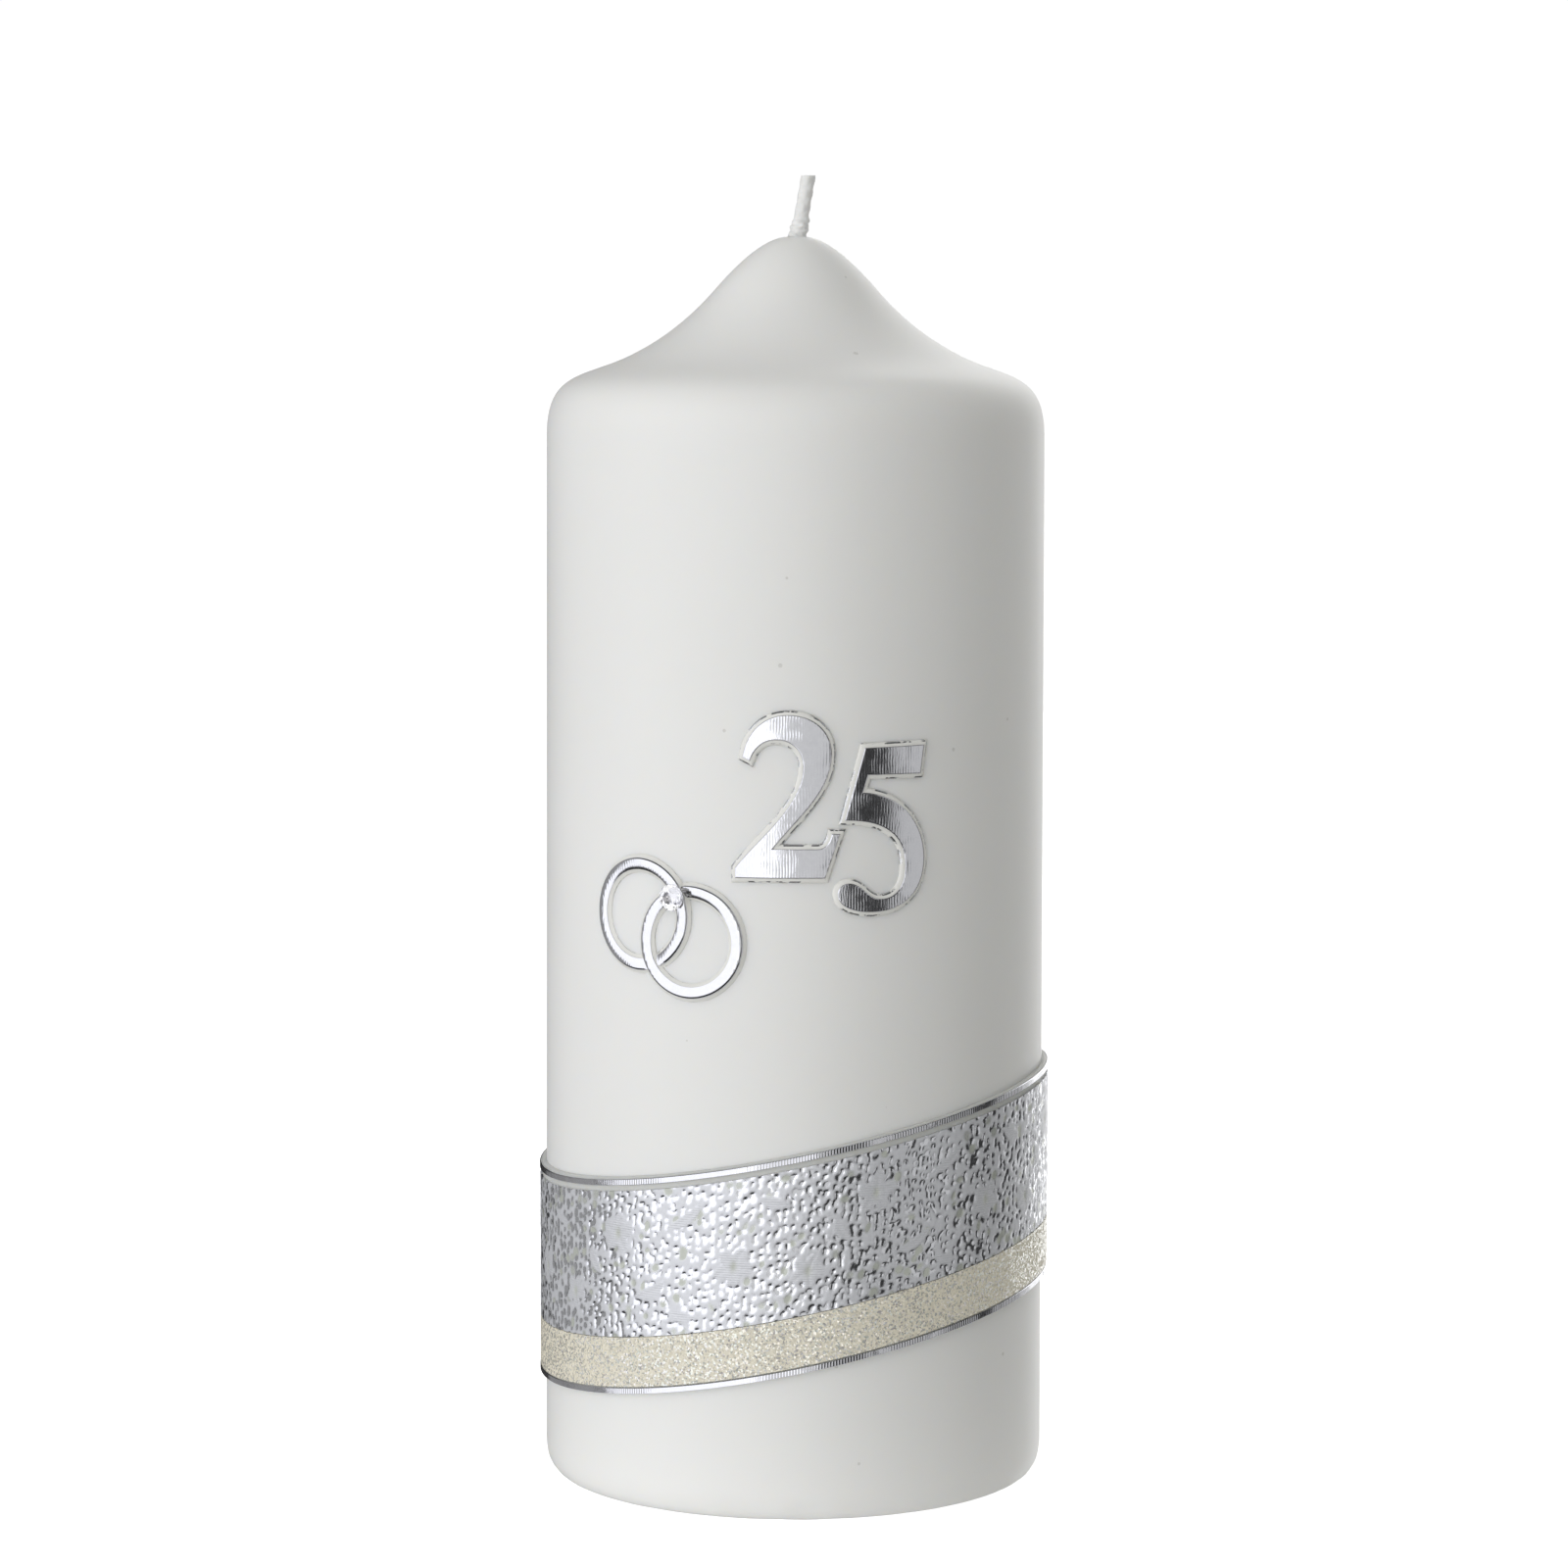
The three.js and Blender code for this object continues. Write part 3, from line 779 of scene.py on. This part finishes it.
def rings(wax, foil):
    """Two interlinked rings: each is a low wax loop with a domed silver band on it."""
    low, high = -0.15 * MM, 0.50 * MM
    rim = 0.42 * MM
    flank = [
        (RING_INNER - rim, low), (RING_INNER - rim, 0.06 * MM), (RING_INNER - 0.7 * rim, 0.2 * MM),
        (RING_INNER - 0.1 * MM, 0.28 * MM), (RING_INNER, high - 0.1 * MM),
        (RING_OUTER, high - 0.1 * MM), (RING_OUTER + 0.1 * MM, 0.28 * MM),
        (RING_OUTER + 0.7 * rim, 0.2 * MM), (RING_OUTER + rim, 0.06 * MM), (RING_OUTER + rim, low)]
    band = [
        (RING_INNER, high - 0.2 * MM), (RING_INNER + 0.05 * MM, high + 0.01 * MM),
        (RING_INNER + 0.22 * MM, high + 0.08 * MM), (RING_INNER + 0.80 * MM, high + 0.22 * MM),
        (RING_OUTER - 0.36 * MM, high + 0.20 * MM), (RING_OUTER - 0.15 * MM, high + 0.13 * MM),
        (RING_OUTER - 0.03 * MM, high - 0.02 * MM), (RING_OUTER, high - 0.2 * MM)]
    both = bmesh.new()
    for side in RING_CENTRES:
        loop = ring_loop(flank, side)
        mark_low_edge(loop)
        mesh = bpy.data.meshes.new("ring_flank")
        loop.to_mesh(mesh)
        both.from_mesh(mesh)
        bpy.data.meshes.remove(mesh)
        loop.free()
        make_piece(f"{side}_ring_foil_visual", ring_loop(band, side), foil,
                   [f"{side}_ring_foil"], crease=35)
    make_piece("rings_wax_visual", both, wax, ["rings_wax"])


def mark_low_edge(loop):
    """Marks a ring's wax as cut where it meets the coat."""
    cut = loop.verts.layers.float.new("cut")
    for vert in loop.verts:
        reach = vert.co.xy.length - coat_radius(RINGS_Z)
        vert[cut] = 0.5 if -0.1 * MM < reach < 0.09 * MM else 0.0


def stone(glass, mirror):
    """A pointed-back stone: table, two rows of crown facets, girdle, and a mirrored pavilion."""
    table, middle, point = 0.50 * STONE_RADIUS, 0.80 * STONE_RADIUS, 0.16 * STONE_RADIUS
    depth, girdle, middle_z, table_z = 1.36 * MM, 0.12 * MM, 0.50 * MM, 0.78 * MM
    half_facet = math.pi / 8
    pavilion = [(8, point, -depth, half_facet), (16, STONE_RADIUS, 0, 0)]
    crown = [(16, STONE_RADIUS, girdle, 0), (8, middle, middle_z, half_facet), (8, table, table_z, 0)]
    glass_body = faceted(pavilion + crown, 0.0)
    make_piece("rhinestone_visual", glass_body, glass, ["rhinestone"], crease=1)
    shell = faceted(pavilion, -0.06 * MM)
    top = max(shell.faces, key=lambda face: face.calc_area())
    bmesh.ops.delete(shell, geom=[top], context="FACES_ONLY")
    bmesh.ops.solidify(shell, geom=shell.faces[:], thickness=0.03 * MM)
    bmesh.ops.recalc_face_normals(shell, faces=shell.faces)
    make_piece("rhinestone_foil_back_visual", shell, mirror, ["rhinestone_foil_back"],
               crease=1)


def faceted(rows, lower):
    """The hull of rings of points, lowered, each row given as sides, radius, height and turn."""
    bm = bmesh.new()
    for sides, radius, height, turn in rows:
        row = bmesh.ops.create_circle(bm, radius=radius, segments=sides)["verts"]
        bmesh.ops.rotate(bm, verts=row, matrix=Matrix.Rotation(turn, 3, "Z"))
        bmesh.ops.translate(bm, verts=row, vec=(0, 0, height + lower))
    bmesh.ops.convex_hull(bm, input=bm.verts)
    bmesh.ops.dissolve_limit(bm, angle_limit=math.radians(2), verts=bm.verts, edges=bm.edges)
    place_stone(bm, STONE_LIFT)
    return bm


def place_stone(bm, height):
    """Stands a shape on the upper crossing of the rings, facing straight out."""
    across, up = UPPER_CROSSING
    azimuth = RINGS_AZIMUTH + across / ORNAMENT_RADIUS
    reach = coat_radius(RINGS_Z) + height
    outwards = Vector((math.sin(azimuth), -math.cos(azimuth), 0))
    turn = outwards.to_track_quat("Z", "Y").to_matrix().to_4x4()
    spot = Matrix.Translation(outwards * reach + Vector((0, 0, RINGS_Z + up)))
    bmesh.ops.transform(bm, matrix=spot @ turn, verts=bm.verts)
    bmesh.ops.recalc_face_normals(bm, faces=bm.faces)


# Slanting band


def slant(bm):
    """Shears a level strip, so that it slopes up towards the band's high side."""
    rise_x = BAND_SLOPE * math.sin(BAND_HIGH_SIDE)
    rise_y = -BAND_SLOPE * math.cos(BAND_HIGH_SIDE)
    for vert in bm.verts:
        vert.co.z += rise_x * vert.co.x + rise_y * vert.co.y


def strip(profile, steps, ribs=0.0):
    """A strip laid once round the candle with its ends meeting at the back.

    ribs is the height of the cross ribs on its face. Each of them takes three steps.
    """
    bm = spun(profile, steps, closed=True, gap=SEAM_ANGLE)
    if ribs:
        outer = max(r for r, z in profile)
        for vert in bm.verts:
            reach = vert.co.xy.length
            if reach > outer - 0.02 * MM:
                part = round(math.atan2(vert.co.x, -vert.co.y) * steps / (2 * math.pi)) % 3
                vert.co.xy *= 1 + ribs * (0, 1, 0.5)[part] / reach
    slant(bm)
    return bm


def rounded_bar(inner, outer, bottom, top, round_by):
    """A strip's cross-section, with its two outer corners cut off."""
    return [
        (inner, bottom), (outer - round_by, bottom), (outer, bottom + round_by),
        (outer, top - round_by), (outer - round_by, top), (inner, top)]


def band_backing(material):
    """The wax sheet under the whole band."""
    bar = rounded_bar(coat_radius(40 * MM) - 0.2 * MM, BAND_RADIUS, BAND_BOTTOM, BAND_TOP, 0.12 * MM)
    return make_piece("band_wax_visual", strip(bar, 240), material, ["band_wax"])


def trims(wax, foil):
    """The narrow strips along both edges of the band: wax below, ribbed foil on top."""
    bottoms = {"lower_trim": BAND_BOTTOM, "upper_trim": UPPER_TRIM_BOTTOM}
    for name, bottom in bottoms.items():
        top = bottom + TRIM_WIDTH
        bar = rounded_bar(BAND_RADIUS - 0.05 * MM, TRIM_RADIUS - 0.1 * MM, bottom, top, 0.1 * MM)
        make_piece(f"{name}_wax_visual", strip(bar, 240), wax, [f"{name}_wax"])
        face = rounded_bar(
            TRIM_RADIUS - 0.14 * MM, TRIM_RADIUS, bottom + 0.04 * MM, top - 0.04 * MM, 0.06 * MM)
        piece = strip(face, 3 * TRIM_RIBS, ribs=0.020 * MM)
        make_piece(f"{name}_foil_visual", piece, foil, [f"{name}_foil"], crease=0)


def strip_sheet(bottom, top, columns, rows, height_at):
    """A thin sheet round the candle whose face is worked into relief, closed behind.

    height_at gives the rise at a place along and up the sheet, and how far it is lined, bare or
    pitted there.
    """
    bm = bmesh.new()
    bmesh.ops.create_grid(bm, x_segments=columns, y_segments=rows, size=0.5)
    worked = bm.verts.layers.float_color.new("worked")
    seam = SEAM_HALF_WIDTH / FACE_RADIUS
    for vert in bm.verts:
        across, up = vert.co.x + 0.5, vert.co.y + 0.5
        angle = -math.pi + seam + across * 2 * (math.pi - seam)
        z = bottom + up * (top - bottom)
        rise, marks = height_at(angle * FACE_RADIUS, z - bottom)
        vert[worked] = (*marks, 1)
        reach = FACE_RADIUS + rise
        vert.co = (reach * math.sin(angle), -reach * math.cos(angle), z)
    rim = [e for e in bm.edges if e.is_boundary]
    back = bmesh.ops.extrude_edge_only(bm, edges=rim)["geom"]
    for vert in (g for g in back if isinstance(g, bmesh.types.BMVert)):
        vert.co.xy *= (BAND_RADIUS - 0.05 * MM) / vert.co.xy.length
    bmesh.ops.recalc_face_normals(bm, faces=bm.faces)
    slant(bm)
    return bm


def round_pits(draw, pitch_x, pitch_y):
    """Flat-bottomed round pits in loose columns, each a little turned, tilted and out of place.

    Gives the depth and the bareness at a place. A worn pit is wider and shallower, and bare.
    """
    cells = {}

    def pit(column, row):
        if (column, row) not in cells:
            worn = 1.0 if draw.random() < 0.09 else 0.0
            grown = 1.0 + 0.35 * worn
            cells[column, row] = (
                draw.uniform(-0.28, 0.28) * pitch_x, draw.uniform(-0.32, 0.32) * pitch_y,
                draw.uniform(0.24, 0.50) * pitch_x * grown, draw.uniform(0.26, 0.56) * pitch_y * grown,
                draw.uniform(-0.6, 0.6), draw.uniform(-0.22, 0.22), draw.uniform(-0.30, 0.12),
                0.0 if draw.random() < 0.05 else draw.uniform(0.5, 1.0) * (1 - 0.4 * worn), worn)
        return cells[column, row]

    def at(s, t):
        deep, bare = 0.0, 0.0
        column = math.floor(s / pitch_x)
        for c in (column - 1, column, column + 1, column + 2):
            shift = 0.5 * pitch_y * (c % 2)
            row = math.floor((t - shift) / pitch_y)
            for r in (row, row + 1):
                dx, dy, wide, high, turn, lean_x, lean_y, depth, worn = pit(c, r)
                x, y = s - c * pitch_x - dx, t - r * pitch_y - shift - dy
                x, y = x + turn * y, y - turn * x
                x, y = x / wide, y / high
                if x * x + y * y < 3:
                    here = depth * math.exp(-(x * x + y * y) ** 3) * (1 + lean_x * x + lean_y * y)
                    if here > deep:
                        deep, bare = here, worn * here
        return deep, bare

    return at


def embossing():
    """The relief's height: a ground of rounded pits, with lined flowers and leaves left flat."""
    draw = random.Random(25)
    length = 2 * math.pi * FACE_RADIUS
    tall = BAND_TOP - BAND_BOTTOM - 2 * TRIM_WIDTH - GLITTER_HEIGHT - RELIEF_MARGIN - 0.5 * MM
    step = length / 6
    flowers = [(0.30, 0.72, 3.0 * MM), (0.05, 0.30, 2.6 * MM), (0.78, 0.42, 2.9 * MM)]
    leaves = [(0.17, 0.52, -1.0, 2.4), (0.45, 0.30, 0.35, 3.2), (0.60, 0.78, 0.5, 3.4),
              (0.93, 0.80, -0.4, 2.6), (0.58, 0.12, -0.3, 2.2)]
    pits = round_pits(draw, *PIT_PITCH)

    def flat_at(s, t):
        """How far a flower or a leaf covers a place, and the grooves and bare hearts in it."""
        along = (s % step) / step
        cover, groove, bare = 0.0, 0.0, 0.0
        for fx, fy, size in flowers:
            dx = ((along - fx + 0.5) % 1 - 0.5) * step
            dy = t - fy * tall
            reach = math.hypot(dx, dy)
            if reach < size * 1.1:
                petals = 2.5 * math.atan2(dy, dx) + fx * 9
                edge = size * (0.62 + 0.38 * abs(math.cos(petals)))
                cover = max(cover, min(1.0, max(0.0, (edge - reach) / (0.35 * MM))))
                groove = max(groove, cover * math.exp(-(math.sin(petals) * reach / (0.3 * MM)) ** 2))
                bare = max(bare, math.exp(-((dx / 0.45) ** 2 + (dy / 0.75) ** 2) / MM ** 2))
        for fx, fy, turn, long in leaves:
            dx = ((along - fx + 0.5) % 1 - 0.5) * step
            dy = t - fy * tall
            u = dx * math.cos(turn) + dy * math.sin(turn)
            v = dy * math.cos(turn) - dx * math.sin(turn) - 0.07 * u * u / MM
            half = 0.95 * MM * max(0.0, 1 - (u / (long * MM)) ** 2)
            inside = min(1.0, max(0.0, (half - abs(v)) / (0.3 * MM)))
            cover = max(cover, 0.9 * inside)
            groove = max(groove, 0.6 * inside * math.exp(-(v / (0.2 * MM)) ** 2))
        return cover, groove, bare

    def height_at(s, t):
        cover, groove, bare = flat_at(s, t)
        deep, worn = pits(s, t)
        open_ground = 1 - min(1.0, 1.3 * cover)
        deep *= open_ground
        swell = noise.noise(Vector((s, t, 0)) / (2.4 * MM))
        cord = math.cos(2 * math.pi * s / PIT_PITCH[0]) * open_ground
        rise = 0.03 * cover - 0.05 * groove - 0.16 * deep + 0.03 * swell + 0.012 * cord - 0.06 * bare
        return rise * MM, (cover, min(1.0, max(bare, open_ground * worn * 2.4)), min(1.0, deep * 2.0))

    return height_at


def sugared(s, t):
    """The glitter strip's grainy face."""
    place = Vector((s, t, 7 * MM))
    grains = 0.5 * noise.noise(place / (0.45 * MM)) + 0.5 * noise.noise(place / (1.3 * MM))
    return 0.03 * MM * grains, (0.0, 0.0, 0.0)


def band_faces(foil, glitter):
    """The embossed strip and, below it, the glitter strip."""
    glitter_bottom = BAND_BOTTOM + TRIM_WIDTH + STRIP_GAP
    glitter_top = glitter_bottom + GLITTER_HEIGHT
    relief_top = UPPER_TRIM_BOTTOM - RELIEF_MARGIN
    coarse = 1
    relief = strip_sheet(
        glitter_top + 0.1 * MM, relief_top, 1100 // coarse, 86 // coarse, embossing())
    make_piece("silver_relief_strip_visual", relief, foil, ["silver_relief_strip"])
    sugar = strip_sheet(glitter_bottom, glitter_top, 900 // coarse, 30 // coarse, sugared)
    make_piece("glitter_strip_visual", sugar, glitter, ["glitter_strip"])


# Stage


def stage():
    """A pale floor that fades into a white surround. Only the camera sees the floor."""
    bm = bmesh.new()
    bmesh.ops.create_circle(bm, cap_ends=True, segments=96, radius=40)
    mesh = bpy.data.meshes.new("floor")
    bm.to_mesh(mesh)
    bm.free()
    material, tree, shader, place = start_material("pale_floor")
    away = add_node(tree, "ShaderNodeVectorMath", {"operation": "LENGTH"}, {0: place}, "Value")
    glow = ((away - 0.05) * 2.0).clamped() * 0.35 + 0.75
    finish_material(tree, shader, {"Roughness": 0.7, "Emission Strength": 1.0}, {
        "Base Color": mix_colour(
            tree, noise_at(tree, place, 3.0, 2.0), rgb(0.88, 0.88, 0.88), rgb(0.92, 0.92, 0.92)),
        "Emission Color": mix_colour(tree, glow / 1.1, rgb(0, 0, 0), rgb(1.1, 1.1, 1.1))})
    mesh.materials.append(material)
    floor = bpy.data.objects.new("floor", mesh)
    floor.visible_diffuse = floor.visible_glossy = floor.visible_shadow = False
    bpy.context.scene.collection.objects.link(floor)
    world = bpy.data.worlds.new("surround")
    world.use_nodes = True
    bpy.context.scene.world = world
    tree = world.node_tree
    seen = add_node(tree, "ShaderNodeLightPath", {}, {}, "Is Camera Ray")
    strength = seen * 0.98 + 0.04
    background = tree.nodes["Background"]
    background.inputs["Color"].default_value = rgb(1, 1, 1)
    tree.links.new(strength.socket, background.inputs["Strength"])


look()
light_studio()
stage()
bpy.context.scene.view_settings.view_transform = "Standard"

# The wax of the band and the trims is darkened with painted shade, for the groove between the trims and the
# relief.
ornament_wax = pressed_wax("ornament_wax", rgb(0.66, 0.66, 0.62), rgb(0.60, 0.60, 0.56))
core_wax = pressed_wax("core_wax", rgb(0.84, 0.83, 0.79), rgb(0.79, 0.78, 0.74))
foil = silver_foil()

dipped_coat(dipped_wax())
pressed_core(core_wax)
wick(waxed_cotton())
trimmed_wax = cut_wax()
numeral("numeral_2", TWO, NUMERAL_2, trimmed_wax, foil)
numeral("numeral_5", FIVE, NUMERAL_5, trimmed_wax, foil)
rings(trimmed_wax, foil)
stone(cut_glass(), stone_mirror())
band_backing(ornament_wax)
trims(ornament_wax, foil)
band_faces(relief_foil(), cream_glitter())
